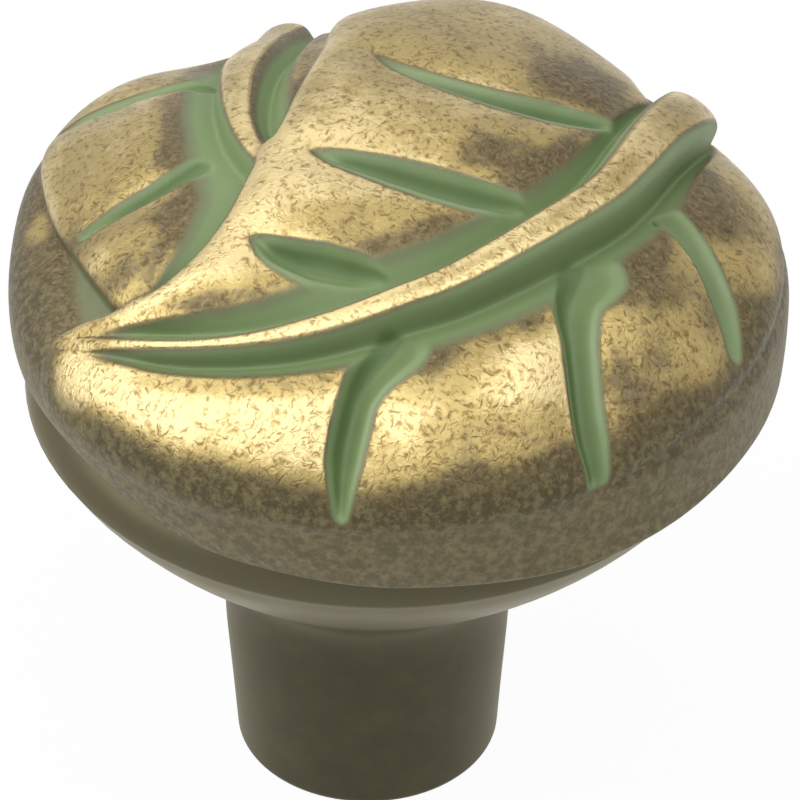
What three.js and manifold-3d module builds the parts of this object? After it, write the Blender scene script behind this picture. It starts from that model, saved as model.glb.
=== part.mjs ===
// A die-cast cabinet knob: a mushroom head covered by overlapping leaves in relief, a round bowl under
// it, and a tapered stem with a blind tapped hole in its foot. It is one casting, so it is one mesh.
// Millimetres, +Z up. The origin is on the foot's plane, under the centre of the head's outline.

import * as THREE from "three";
import { mergeVertices } from "three/addons/utils/BufferGeometryUtils.js";
import Module from "manifold-3d";

// Head
const HEAD_RADIUS = 17.4; // at the head's widest level
const HEAD_WIDEST_Z = 25.6; // height of that level
const DOME_RISE = 8.8; // from that level to the crown
const RIM_Z = 22.55; // lower edge of the head's side
const RIM_INSETS = [
  // azimuth in degrees, and how far the rim lies inside the head's widest level there
  [0, 0.2],
  [60, 0.3],
  [150, 0.35],
  [185, 0.5],
  [212, 1.45],
  [245, 0.6],
  [272, 0.3],
  [303, -0.2],
  [335, 0.1],
];

// Bowl and stem
const BOWL_RADIUS = 16.15;
const BOWL_TOP_Z = 23.1; // the bowl's top is hidden in the head
const BOWL_EDGE = 2.3; // rounding at the bowl's top edge
const BOWL_OFFSET = -0.65; // the bowl's axis, along X
const STEM_OFFSET = -1.45; // the stem's axis, along X
const STEM_JOIN_Z = 11.2; // where the stem's flare runs into the bowl
const STEM_JOIN_RADIUS = 7.1;
const STEM_RADIUS = 6.0; // just over the foot
const STEM_TAPER = 0.42; // extra radius gained by mid height
const STEM_PROFILE = [
  // the stem's swelling as a share of the taper, at a share of the height up to the join
  [0.4, 0.25],
  [1.0, 0.55],
  [1.5, 0.82],
];
const BOWL_PROFILE = [
  // shares of the way from the join to the bowl's full radius and full height
  [0.14, 0.15],
  [0.35, 0.33],
  [0.56, 0.5],
  [0.74, 0.67],
  [0.9, 0.85],
];
const SHIFT_FROM_Z = 6.7; // the axis starts to move from the stem's to the bowl's here
const FOOT_EDGE = 0.4; // rounding round the foot

// Tapped hole
const HOLE_RADIUS = 1.73; // bore of a number 8 thread, before tapping
const HOLE_DEPTH = 13;
const HOLE_POINT = 1.0; // height of the drill's cone
const HOLE_CHAMFER = 0.45;
const HOLE_OVERCUT = 1; // the cutting tool reaches this far below the foot

// Relief, as heights along the dome's own normal
const GROUND_DEPTH = 1.6; // the ground between the leaves, below the dome
const GROUND_FADE = [15.5, 20.5]; // the ground rises to the dome between these distances from the crown
const SWELLS = [
  // where the dome swells or dips, as x, y, reach and height
  [12.0, 12.5, 5.5, -0.55],
  [17.5, 7.0, 4.0, -0.45],
  [4.8, 14.5, 4.2, 0.5],
  [-2.0, 17.0, 2.6, -0.5],
  [-8.5, 14.5, 4.0, -0.6],
  [-13.6, 11.4, 3.2, 0.3],
  [-16.8, 7.5, 4.5, 0.65],
];
const LEAF_LIP = 0.2; // least thickness of a leaf's edge
const EDGE_WIDTH = 0.7; // a leaf's edge rolls over within this width
const FRONT_RISE = 1.1; // of the front leaf over the ground
const REAR_RISE = 0.45; // of the rear leaf over the ground
const CROWN_RISE = 0.4; // how much a leaf swells between its veins
const CROWN_WIDTH = 2.6; // the swelling is full this far from a vein or an edge
const TROUGH_OPENING = 1.1; // a trough is at full depth where its side is this wide
const FRONT_TROUGH = 0.95; // depth of the trough beside the front midrib
const REAR_TROUGH = 0.8;
const FRONT_VEIN_DEPTH = 1.05;
const REAR_VEIN_DEPTH = 0.6;
const VEIN_WALL = 1.3; // depth of a vein for each millimetre of its half width
const FRONT_PROUD = [0.02, 1.4]; // midrib over the leaf, at the tip and at the stub
const REAR_PROUD = [0.1, 0.85];
const CUT_BLEND = 4; // a higher power makes a sharper corner where two cuts meet
const RAMP_ROUNDING = 0.3; // share of a trough's side that rounds into the leaf
const RIB_WALL = 0.45; // width of the steep wall from a midrib down into its trough
const RIB_SHOULDER = 0.45; // drop from a midrib's middle to its shoulder, for each millimetre of half width

// Mesh
const GRID_LEVELS = 8; // the finest grid has 2 to this power of cells on each side
const SURFACE_TOLERANCE = 0.158;
const TURN_STEPS = 44;
const PROFILE_STEPS = 17; // straight pieces from the foot to the bowl's widest level
const ROUNDING_STEPS = 3; // straight pieces round the foot's edge and the bowl's top edge
const STROKE_STEPS = 6; // straight pieces between two points of a drawn line
const ARC_STEPS = 400; // straight pieces that the dome's length is measured with

// The leaves are drawn on a flat pattern in millimetres that is wrapped over the dome: a point's distance
// from the pattern's centre is its distance from the crown, measured along the surface.
// Midribs: x, y, half width of the rib, half width of the trough on its left and on its right.
const FRONT_MIDRIB = [
  [-16.3, -8.1, 0.35, 0.35, 0.35],
  [-14.5, -9.0, 0.38, 0.5, 0.6],
  [-11.3, -10.3, 0.36, 1.35, 1.25],
  [-8.9, -11.0, 0.38, 1.85, 1.55],
  [-6.6, -11.3, 0.45, 2.2, 1.8],
  [-4.4, -11.2, 0.58, 2.65, 2.1],
  [-2.1, -10.7, 0.64, 3.15, 2.5],
  [0.1, -9.9, 0.7, 2.95, 2.9],
  [2.2, -9.0, 0.8, 2.9, 3.0],
  [4.4, -7.5, 0.9, 2.8, 3.2],
  [6.6, -5.6, 1.0, 2.7, 3.25],
  [8.9, -3.2, 1.05, 2.7, 2.95],
  [10.3, -0.8, 1.15, 2.6, 3.0],
  [11.8, 2.6, 1.3, 2.25, 2.4],
  [13.7, 6.6, 1.5, 2.0, 2.1],
];
const REAR_MIDRIB = [
  [-11.3, -8.0, 0.15, 0.9, 0.3],
  [-8.4, -5.4, 0.3, 2.2, 1.1],
  [-6.4, -2.6, 0.4, 3.6, 2.4],
  [-6.1, -0.6, 0.5, 3.8, 2.6],
  [-6.8, 1.3, 0.6, 3.35, 2.6],
  [-7.3, 3.3, 0.7, 3.0, 2.6],
  [-7.5, 6.1, 0.95, 3.0, 2.6],
  [-7.4, 8.8, 1.15, 3.0, 2.6],
  [-7.0, 11.4, 1.3, 3.0, 2.6],
  [-6.6, 13.8, 1.35, 3.0, 2.6],
  [-5.8, 16.2, 1.3, 2.6, 2.4],
];

// Outlines: x, y round each leaf
const FRONT_OUTLINE = [
  [-17.5, -7.6],
  [-18.9, -10.6],
  [-16.8, -13.6],
  [-14.0, -16.3],
  [-10.4, -18.7],
  [-6.4, -20.0],
  [-2.4, -20.7],
  [1.6, -20.6],
  [5.6, -19.8],
  [9.5, -17.9],
  [13.0, -15.1],
  [16.0, -11.6],
  [18.2, -7.4],
  [19.4, -2.8],
  [19.3, 1.6],
  [18.2, 5.4],
  [15.9, 8.0],
  [13.6, 7.6],
  [12.2, 8.6],
  [11.8, 12.4],
  [8.6, 16.0],
  [4.2, 17.9],
  [0.6, 18.1],
  [-2.2, 15.8],
  [-3.2, 12.4],
  [-3.5, 9.0],
  [-4.6, 5.1],
  [-5.5, 2.3],
  [-6.3, 0.3],
  [-7.3, -2.1],
  [-8.0, -3.9],
  [-9.0, -5.5],
  [-10.3, -6.6],
  [-11.6, -7.1],
  [-13.5, -7.3],
  [-15.6, -7.1],
];
const REAR_OUTLINE = [
  [-13.4, -7.6],
  [-14.6, -5.8],
  [-16.1, -2.7],
  [-17.2, 0.2],
  [-17.7, 3.2],
  [-17.6, 6.8],
  [-16.1, 10.6],
  [-13.2, 14.0],
  [-9.0, 16.7],
  [-4.0, 18.2],
  [1.0, 18.0],
  [3.0, 12.0],
  [0.0, 2.0],
  [-6.0, -6.0],
  [-10.5, -8.6],
];

// Side veins: x, y, half width
const FRONT_VEINS = [
  [
    [-1.3, 7.4, 0.08],
    [0.1, 5.7, 0.25],
    [2.3, 4.3, 0.42],
    [4.6, 3.4, 0.6],
    [6.9, 3.0, 0.75],
    [8.7, 3.0, 0.55],
    [10.2, 3.4, 0.15],
  ],
  [
    [-4.0, -0.6, 0.08],
    [-2.3, -1.4, 0.45],
    [-0.1, -2.3, 0.75],
    [1.7, -3.0, 0.85],
    [3.4, -3.5, 0.85],
    [5.0, -3.8, 0.6],
    [6.4, -3.9, 0.15],
  ],
  [
    [-6.3, -5.9, 0.2],
    [-5.3, -6.7, 0.65],
    [-3.6, -7.5, 1.0],
    [-2.1, -8.0, 0.85],
    [-0.9, -8.3, 0.5],
    [0.1, -8.4, 0.12],
  ],
  [
    [-0.3, -12.0, 1.2],
    [-1.4, -13.4, 0.9],
    [-2.0, -14.6, 0.72],
    [-2.4, -16.0, 0.72],
    [-2.7, -17.4, 0.68],
    [-2.9, -19.6, 0.3],
  ],
  [
    [8.3, -7.4, 1.4],
    [7.9, -9.0, 0.95],
    [8.1, -11.0, 0.65],
    [8.6, -13.8, 0.6],
    [9.1, -15.6, 0.62],
    [9.9, -17.5, 0.4],
  ],
  [
    [12.3, -2.6, 0.7],
    [13.2, -3.3, 0.55],
    [14.3, -4.6, 0.5],
    [15.3, -6.4, 0.5],
    [16.2, -8.7, 0.3],
  ],
];
const REAR_VEINS = [
  [
    [-15.4, -1.55, 0.25],
    [-13.2, -1.05, 0.4],
    [-11.6, -0.6, 0.5],
    [-10.2, 0.1, 0.6],
    [-9.2, 0.7, 0.7],
  ],
  [
    [-16.6, 8.0, 0.1],
    [-15.0, 8.5, 0.3],
    [-12.5, 9.0, 0.5],
    [-10.5, 9.1, 0.7],
    [-9.3, 9.2, 0.8],
  ],
];

function clamp01(value) {
  return Math.min(1, Math.max(0, value));
}

function smoothstep(from, to, value) {
  const t = clamp01((value - from) / (to - from));
  return t * t * (3 - 2 * t);
}

function mix(from, to, share) {
  return from + (to - from) * share;
}

// A quarter of a circle: 0 at 0, rising steeply at first, and level at 1
function rollOver(value) {
  const t = clamp01(value);
  return Math.sqrt(1 - (1 - t) * (1 - t));
}

// A straight ramp from 0 to 1 with a rounded start
function softRamp(value) {
  const t = clamp01(value);
  const risen = t < RAMP_ROUNDING ? (t * t) / (2 * RAMP_ROUNDING) : t - RAMP_ROUNDING / 2;
  return risen / (1 - RAMP_ROUNDING / 2);
}

// The dome's meridian is a quarter ellipse. This table gives the distance from the crown along it.
const domeArc = [0];
for (let i = 1; i <= ARC_STEPS; i++) {
  const middle = ((i - 0.5) / ARC_STEPS) * (Math.PI / 2);
  const speed = Math.hypot(HEAD_RADIUS * Math.cos(middle), DOME_RISE * Math.sin(middle));
  domeArc.push(domeArc[i - 1] + (speed * Math.PI) / 2 / ARC_STEPS);
}
const DOME_LENGTH = domeArc[ARC_STEPS];
const SIDE_LENGTH = HEAD_WIDEST_Z - RIM_Z;

function domeAngle(distance) {
  let high = 1;
  while (high < ARC_STEPS && domeArc[high] < distance) high++;
  const share = clamp01((distance - domeArc[high - 1]) / (domeArc[high] - domeArc[high - 1]));
  return ((high - 1 + share) / ARC_STEPS) * (Math.PI / 2);
}

function rimInset(azimuth) {
  const degrees = (THREE.MathUtils.radToDeg(azimuth) + 360) % 360;
  for (let i = 0; i < RIM_INSETS.length; i++) {
    const [from, inset] = RIM_INSETS[i];
    const [next, nextInset] = RIM_INSETS[(i + 1) % RIM_INSETS.length];
    const to = next > from ? next : next + 360;
    if (degrees >= from && degrees <= to) return mix(inset, nextInset, smoothstep(from, to, degrees));
  }
  return RIM_INSETS[0][1];
}

// The smooth head without its relief: a point and its outward normal
function headBase(x, y) {
  const distance = Math.hypot(x, y);
  const azimuth = Math.atan2(y, x);
  const outward = new THREE.Vector3(Math.cos(azimuth), Math.sin(azimuth), 0);
  if (distance <= DOME_LENGTH) {
    const angle = domeAngle(distance);
    const point = outward.clone().multiplyScalar(HEAD_RADIUS * Math.sin(angle));
    point.z = HEAD_WIDEST_Z + DOME_RISE * Math.cos(angle);
    const normal = outward.multiplyScalar(Math.sin(angle) / HEAD_RADIUS);
    normal.z = Math.cos(angle) / DOME_RISE;
    return { point, normal: normal.normalize() };
  }
  const down = Math.min(1, (distance - DOME_LENGTH) / SIDE_LENGTH);
  const point = outward.clone().multiplyScalar(HEAD_RADIUS - rimInset(azimuth) * down * down);
  point.z = mix(HEAD_WIDEST_Z, RIM_Z, down);
  return { point, normal: outward };
}

// Drawn lines. Each one keeps its corners and the widths at them.
function drawLine(points, closed) {
  const places = points.map(([x, y]) => new THREE.Vector3(x, y, 0));
  const curve = new THREE.CatmullRomCurve3(places, closed, "catmullrom", 0.5);
  const pieces = closed ? points.length : points.length - 1;
  const corners = curve.getPoints(pieces * STROKE_STEPS);
  const widths = corners.map((_, i) => {
    const at = Math.min(i / STROKE_STEPS, pieces);
    const first = points[Math.floor(at) % points.length];
    const second = points[Math.min(Math.floor(at) + 1, pieces) % points.length];
    return first.slice(2).map((width, k) => mix(width, second[2 + k], at - Math.floor(at)));
  });
  return { corners, widths };
}

// Distance from a place to a drawn line, the widths there, the side, and how far along it is
function nearest(line, x, y) {
  const best = { distance: Infinity, widths: [], left: false, along: 0 };
  for (let i = 0; i + 1 < line.corners.length; i++) {
    const a = line.corners[i];
    const b = line.corners[i + 1];
    const dx = b.x - a.x;
    const dy = b.y - a.y;
    const share = clamp01(((x - a.x) * dx + (y - a.y) * dy) / (dx * dx + dy * dy));
    const distance = Math.hypot(x - a.x - share * dx, y - a.y - share * dy);
    if (distance < best.distance) {
      best.distance = distance;
      best.left = dx * (y - a.y) - dy * (x - a.x) > 0;
      best.along = (i + share) / (line.corners.length - 1);
      best.widths = line.widths[i].map((width, k) => mix(width, line.widths[i + 1][k], share));
    }
  }
  return best;
}

// Distance inside a closed outline, negative outside it
function insideDistance(outline, x, y) {
  let inside = false;
  for (let i = 0; i + 1 < outline.corners.length; i++) {
    const a = outline.corners[i];
    const b = outline.corners[i + 1];
    if (a.y > y !== b.y > y && x < a.x + ((y - a.y) * (b.x - a.x)) / (b.y - a.y)) inside = !inside;
  }
  const distance = nearest(outline, x, y).distance;
  return inside ? distance : -distance;
}

const frontLeaf = {
  outline: drawLine(FRONT_OUTLINE, true),
  midrib: drawLine(FRONT_MIDRIB, false),
  veins: FRONT_VEINS.map((points) => drawLine(points, false)),
  rise: FRONT_RISE,
  trough: FRONT_TROUGH,
  veinDepth: FRONT_VEIN_DEPTH,
  proud: FRONT_PROUD,
};
const rearLeaf = {
  outline: drawLine(REAR_OUTLINE, true),
  midrib: drawLine(REAR_MIDRIB, false),
  veins: REAR_VEINS.map((points) => drawLine(points, false)),
  rise: REAR_RISE,
  trough: REAR_TROUGH,
  veinDepth: REAR_VEIN_DEPTH,
  proud: REAR_PROUD,
};

// Height of a leaf's upper side at a place inside its outline, laid on what is under it
function leafHeight(leaf, x, y, ground, fade, under) {
  const edge = insideDistance(leaf.outline, x, y);
  const rib = nearest(leaf.midrib, x, y);
  const [ribHalf, leftHalf, rightHalf] = rib.widths;
  const troughHalf = rib.left ? leftHalf : rightHalf;
  if (edge <= 0 && rib.distance >= ribHalf + RIB_WALL) return under;

  let fromCuts = Math.min(edge, rib.distance - troughHalf);
  const openness = smoothstep(0, TROUGH_OPENING, troughHalf - ribHalf);
  const troughDepth = leaf.trough * openness;
  const foot = ribHalf + RIB_WALL * openness;
  const across = clamp01((rib.distance - foot) / Math.max(troughHalf - foot, 0.001));
  const cuts = [rib.distance < troughHalf ? troughDepth * softRamp(1 - across) : 0];
  for (const vein of leaf.veins) {
    const { distance, widths } = nearest(vein, x, y);
    const half = widths[0];
    fromCuts = Math.min(fromCuts, distance - half);
    const depth = Math.min(leaf.veinDepth, half * VEIN_WALL);
    if (distance < half) cuts.push(depth * (1 - (distance / half) ** 2));
  }

  // Cuts run into each other softly
  const cut = cuts.reduce((sum, depth) => sum + depth ** CUT_BLEND, 0) ** (1 / CUT_BLEND);
  const level = ground + leaf.rise * fade + LEAF_LIP;
  const swollen = clamp01(fromCuts / CROWN_WIDTH);
  const swelling = CROWN_RISE * swollen * (2 - swollen);
  let height = mix(under, level + swelling - cut, rollOver(edge / EDGE_WIDTH));
  if (rib.distance < foot) {
    const top = level + mix(leaf.proud[0], leaf.proud[1], rib.along);
    const shoulder = top - RIB_SHOULDER * ribHalf;
    const bed = Math.min(shoulder, level - troughDepth);
    const round = Math.sqrt(1 - Math.min(1, rib.distance / ribHalf) ** 2);
    const wall = clamp01((rib.distance - ribHalf) / Math.max(foot - ribHalf, 0.001));
    height = Math.max(height, mix(mix(shoulder, bed, wall), top, round));
  }
  return height;
}

function relief(x, y) {
  const distance = Math.hypot(x, y);
  const fade = 1 - smoothstep(GROUND_FADE[0], GROUND_FADE[1], distance);
  let ground = -GROUND_DEPTH * fade;
  for (const [centreX, centreY, reach, height] of SWELLS) {
    ground += height * Math.exp(-(((x - centreX) / reach) ** 2) - ((y - centreY) / reach) ** 2);
  }
  const rear = leafHeight(rearLeaf, x, y, ground, fade, ground);
  return leafHeight(frontLeaf, x, y, ground, fade, rear);
}

function headPoint(x, y) {
  const { point, normal } = headBase(x, y);
  return point.addScaledVector(normal, relief(x, y));
}

// A square grid is bent into a disc, so that its border becomes the rim
const GRID_CELLS = 2 ** GRID_LEVELS;
const PATTERN_RADIUS = DOME_LENGTH + SIDE_LENGTH;

function squareToDisc(u, v) {
  if (u === 0 && v === 0) return [0, 0];
  const wide = Math.abs(u) > Math.abs(v);
  const radius = wide ? u : v;
  const angle = wide ? (Math.PI / 4) * (v / u) : Math.PI / 2 - (Math.PI / 4) * (u / v);
  return [PATTERN_RADIUS * radius * Math.cos(angle), PATTERN_RADIUS * radius * Math.sin(angle)];
}

// The head's upper surface in triangles that halve until none strays from the form by the tolerance
function headSurface() {
  const side = GRID_CELLS + 1;
  const places = [];
  for (let row = 0; row < side; row++) {
    for (let column = 0; column < side; column++) {
      const [x, y] = squareToDisc((2 * column) / GRID_CELLS - 1, (2 * row) / GRID_CELLS - 1);
      places.push(headPoint(x, y));
    }
  }

  // Each triangle is two ends of its longest edge and its corner, as places in the grid. Two halves
  // make a square, and every level halves the triangles of the one before.
  const last = side * side - 1;
  const levels = [
    [
      [0, last, GRID_CELLS],
      [last, 0, last - GRID_CELLS],
    ],
  ];
  const middle = ([from, to]) => (from + to) / 2;
  const halves = (triangle) => {
    const [from, to, corner] = triangle;
    return [
      [corner, from, middle(triangle)],
      [to, corner, middle(triangle)],
    ];
  };
  while (levels.length < 2 * GRID_LEVELS) levels.push(levels.at(-1).flatMap(halves));

  // From the smallest triangles up, so that a longest edge also knows how far its halves stray
  const strays = new Float32Array(side * side);
  levels.toReversed().forEach((triangles, i) => {
    for (const triangle of triangles) {
      const [from, to] = triangle;
      const on = middle(triangle);
      const straight = places[from].clone().lerp(places[to], 0.5);
      const below = i === 0 ? [0] : halves(triangle).map((half) => strays[middle(half)]);
      strays[on] = Math.max(strays[on], straight.distanceTo(places[on]), ...below);
    }
  });

  const triangles = [];
  const split = (triangle, level) => {
    if (level < levels.length && strays[middle(triangle)] > SURFACE_TOLERANCE) {
      for (const half of halves(triangle)) split(half, level + 1);
    } else {
      triangles.push([triangle[0], triangle[2], triangle[1]]);
    }
  };
  for (const triangle of levels[0]) split(triangle, 0);
  return { places, triangles };
}

const wasm = await Module();
wasm.setup();

function solidFromGeometry(geometry) {
  const bare = geometry.clone();
  bare.deleteAttribute("normal");
  bare.deleteAttribute("uv");
  const merged = mergeVertices(bare, 1e-5);
  return new wasm.Manifold(
    new wasm.Mesh({
      numProp: 3,
      vertProperties: new Float32Array(merged.attributes.position.array),
      triVerts: new Uint32Array(merged.index.array),
    }),
  );
}

function geometryFromSolid(solid) {
  const mesh = solid.getMesh();
  const geometry = new THREE.BufferGeometry();
  geometry.setAttribute("position", new THREE.BufferAttribute(new Float32Array(mesh.vertProperties), 3));
  geometry.setIndex(new THREE.BufferAttribute(new Uint32Array(mesh.triVerts), 1));
  return geometry;
}

// The head is its relief on top and flat underneath, at the rim's level
function headSolid() {
  const { places, triangles } = headSurface();
  const side = GRID_CELLS + 1;
  const corners = [];
  const add = (...points) => points.forEach((point) => corners.push(point.x, point.y, point.z));
  const centre = new THREE.Vector3(0, 0, RIM_Z);
  const borders = (index) => {
    const column = index % side;
    const row = Math.floor(index / side);
    return [column === 0, column === GRID_CELLS, row === 0, row === GRID_CELLS];
  };
  for (const triangle of triangles) {
    add(...triangle.map((index) => places[index]));
    triangle.forEach((from, i) => {
      const to = triangle[(i + 1) % 3];
      const onRim = borders(from).some((border, k) => border && borders(to)[k]);
      if (onRim) add(places[to], places[from], centre);
    });
  }
  const geometry = new THREE.BufferGeometry();
  geometry.setAttribute("position", new THREE.Float32BufferAttribute(corners, 3));
  return solidFromGeometry(geometry);
}

// Bowl, flare, stem and foot are turned from one profile, then the bowl is shifted off the stem's axis
function bodySolid() {
  const bowlDepth = BOWL_TOP_Z - BOWL_EDGE - STEM_JOIN_Z;
  const outline = new THREE.CatmullRomCurve3(
    [
      [STEM_RADIUS, FOOT_EDGE],
      ...STEM_PROFILE.map(([taper, height]) => [STEM_RADIUS + STEM_TAPER * taper, STEM_JOIN_Z * height]),
      [STEM_JOIN_RADIUS, STEM_JOIN_Z],
      ...BOWL_PROFILE.map(([out, up]) => [
        mix(STEM_JOIN_RADIUS, BOWL_RADIUS, out),
        STEM_JOIN_Z + bowlDepth * up,
      ]),
      [BOWL_RADIUS, STEM_JOIN_Z + bowlDepth],
    ].map(([radius, z]) => new THREE.Vector3(radius, z, 0)),
    false,
    "catmullrom",
    0.5,
  );
  const profile = [new THREE.Vector2(0, 0)];
  for (let i = 0; i < ROUNDING_STEPS; i++) {
    const angle = (i / ROUNDING_STEPS) * (Math.PI / 2);
    const radius = STEM_RADIUS - FOOT_EDGE * (1 - Math.sin(angle));
    profile.push(new THREE.Vector2(radius, FOOT_EDGE * (1 - Math.cos(angle))));
  }
  for (const point of outline.getPoints(PROFILE_STEPS)) profile.push(new THREE.Vector2(point.x, point.y));
  for (let i = 1; i <= ROUNDING_STEPS; i++) {
    const angle = (i / ROUNDING_STEPS) * (Math.PI / 2);
    const radius = BOWL_RADIUS - BOWL_EDGE * (1 - Math.cos(angle));
    profile.push(new THREE.Vector2(radius, BOWL_TOP_Z - BOWL_EDGE * (1 - Math.sin(angle))));
  }
  profile.push(new THREE.Vector2(0, BOWL_TOP_Z));
  const turned = new THREE.LatheGeometry(profile, TURN_STEPS);
  turned.rotateX(Math.PI / 2);
  const places = turned.attributes.position;
  for (let i = 0; i < places.count; i++) {
    const share = smoothstep(SHIFT_FROM_Z, BOWL_TOP_Z - BOWL_EDGE, places.getZ(i));
    places.setX(i, places.getX(i) + mix(STEM_OFFSET, BOWL_OFFSET, share));
  }
  return solidFromGeometry(turned);
}

// The blind hole starts with a chamfer at the foot and ends in the drill's cone
function holeSolid() {
  const profile = [
    [0, -HOLE_OVERCUT],
    [HOLE_RADIUS + HOLE_CHAMFER + HOLE_OVERCUT, -HOLE_OVERCUT],
    [HOLE_RADIUS, HOLE_CHAMFER],
    [HOLE_RADIUS, HOLE_DEPTH],
    [0, HOLE_DEPTH + HOLE_POINT],
  ].map(([radius, z]) => new THREE.Vector2(radius, z));
  const turned = new THREE.LatheGeometry(profile, TURN_STEPS / 2);
  turned.rotateX(Math.PI / 2);
  turned.translate(STEM_OFFSET, 0, 0);
  return solidFromGeometry(turned);
}

const casting = headSolid().add(bodySolid()).subtract(holeSolid());

const brass = new THREE.MeshStandardMaterial({ color: 0x9c8350, roughness: 0.45, metalness: 0.7 });
const knob = new THREE.Mesh(geometryFromSolid(casting), brass);
knob.name = "knob";

const part = new THREE.Group();
part.add(knob);

export default part;
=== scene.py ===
# A round cabinet knob: one die casting with a mushroom head, on which two leaves overlap in relief, a
# bowl under the head, and a tapered stem that a screw holds from behind the drawer's front. It has an
# antiqued brass finish, rubbed bright on the high places, and green paint in the recesses.

import math

import bpy
import numpy as np
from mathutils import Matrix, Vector


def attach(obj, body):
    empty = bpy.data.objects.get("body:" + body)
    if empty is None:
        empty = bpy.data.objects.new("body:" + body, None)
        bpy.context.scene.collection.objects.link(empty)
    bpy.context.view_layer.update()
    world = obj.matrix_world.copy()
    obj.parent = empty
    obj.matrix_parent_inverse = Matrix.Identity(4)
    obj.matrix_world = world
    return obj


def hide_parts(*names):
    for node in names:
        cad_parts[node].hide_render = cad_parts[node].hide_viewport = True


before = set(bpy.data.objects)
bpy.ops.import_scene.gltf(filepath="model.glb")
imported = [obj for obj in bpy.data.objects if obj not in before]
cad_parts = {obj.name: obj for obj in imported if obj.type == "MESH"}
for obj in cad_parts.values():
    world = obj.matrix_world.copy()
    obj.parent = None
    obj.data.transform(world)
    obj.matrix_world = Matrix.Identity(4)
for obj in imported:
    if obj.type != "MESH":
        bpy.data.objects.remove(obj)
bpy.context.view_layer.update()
MM = 0.001


# The studio
# A pale floor under soft, even light, with the camera where the photograph was taken: about forty
# degrees above the knob and far off, through a long lens.
CAMERA_ELEVATION = math.radians(39.6)
CAMERA_DISTANCE = 420 * MM
CAMERA_TARGET = Vector((0.05, 0.0, 19.15)) * MM
CAMERA_LENS = 419.6
CAMERA_SENSOR = 36.0
CAMERA_REACH = (10 * MM, 10.0)
WHITE = (1.0, 1.0, 1.0, 1.0)
FILL_TINT = (1.0, 0.99, 0.97, 1.0)
FILL_STRENGTH = 0.4
LAMP_TINT = (1.0, 0.98, 0.95)
FLOOR_RADIUS = 900 * MM
FLOOR_CORNERS = 96
FLOOR_PAPER = (0.86, 0.86, 0.86, 1.0)
FLOOR_WHITENESS = 0.96  # the rest of what the camera sees is the paper in the light, with the shadow

scene = bpy.context.scene
scene.view_settings.view_transform = "Standard"


def aim(thing, target):
    thing.rotation_euler = (target - thing.location).to_track_quat("-Z", "Y").to_euler()


def add_node(tree, kind, inputs=None, **settings):
    node = tree.nodes.new(kind)
    for name, value in settings.items():
        setattr(node, name, value)
    for name, value in (inputs or {}).items():
        if isinstance(value, bpy.types.NodeSocket):
            tree.links.new(value, node.inputs[name])
        else:
            node.inputs[name].default_value = value
    return node


def calculate(tree, operation, *values, clamp=False):
    inputs = dict(enumerate(values))
    return add_node(tree, "ShaderNodeMath", inputs, operation=operation, use_clamp=clamp).outputs[0]


def seen_directly(tree):
    """One for what the camera sees, straight, in gloss or through glass, and nought for other light."""
    path = add_node(tree, "ShaderNodeLightPath")
    direct = calculate(tree, "ADD", path.outputs["Is Camera Ray"], path.outputs["Is Glossy Ray"])
    return calculate(tree, "ADD", direct, path.outputs["Is Transmission Ray"], clamp=True)


camera = bpy.data.objects.new("camera", bpy.data.cameras.new("camera"))
camera.data.lens = CAMERA_LENS
camera.data.sensor_width = CAMERA_SENSOR
camera.data.clip_start, camera.data.clip_end = CAMERA_REACH
away = Vector((0.0, -math.cos(CAMERA_ELEVATION), math.sin(CAMERA_ELEVATION)))
camera.location = CAMERA_TARGET + away * CAMERA_DISTANCE
aim(camera, CAMERA_TARGET)
scene.collection.objects.link(camera)
scene.camera = camera

world = bpy.data.worlds.new("studio")
world.use_nodes = True
scene.world = world
surroundings = world.node_tree
surroundings.nodes.clear()
fill = {"Color": FILL_TINT, "Strength": FILL_STRENGTH}
fill_light = add_node(surroundings, "ShaderNodeBackground", fill)
white_room = add_node(surroundings, "ShaderNodeBackground", {"Color": WHITE, "Strength": 1.0})
room = add_node(
    surroundings,
    "ShaderNodeMixShader",
    {0: seen_directly(surroundings), 1: fill_light.outputs[0], 2: white_room.outputs[0]},
)
add_node(surroundings, "ShaderNodeOutputWorld", {"Surface": room.outputs[0]})

# Each softbox: its place and size in millimetres, and its power in watts
SOFTBOXES = {
    "softbox_left": ((-300, -30, 310), 520, 1.3),
    "softbox_front": ((20, -130, 410), 360, 0.55),
    "softbox_right": ((210, 10, 370), 260, 0.2),
    "softbox_back": ((-60, 230, 330), 260, 0.15),
}
for name, (place, width, power) in SOFTBOXES.items():
    softbox = bpy.data.lights.new(name, "AREA")
    softbox.shape = "DISK"
    softbox.size = width * MM
    softbox.energy = power
    softbox.color = LAMP_TINT
    lamp = bpy.data.objects.new(name, softbox)
    lamp.location = Vector(place) * MM
    aim(lamp, CAMERA_TARGET)
    scene.collection.objects.link(lamp)

corners = []
for i in range(FLOOR_CORNERS):
    turn = math.tau * i / FLOOR_CORNERS
    corners.append((FLOOR_RADIUS * math.cos(turn), FLOOR_RADIUS * math.sin(turn), 0.0))
floor_mesh = bpy.data.meshes.new("floor")
floor_mesh.from_pydata(corners, [], [tuple(range(FLOOR_CORNERS))])
floor = bpy.data.objects.new("floor", floor_mesh)
scene.collection.objects.link(floor)

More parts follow.
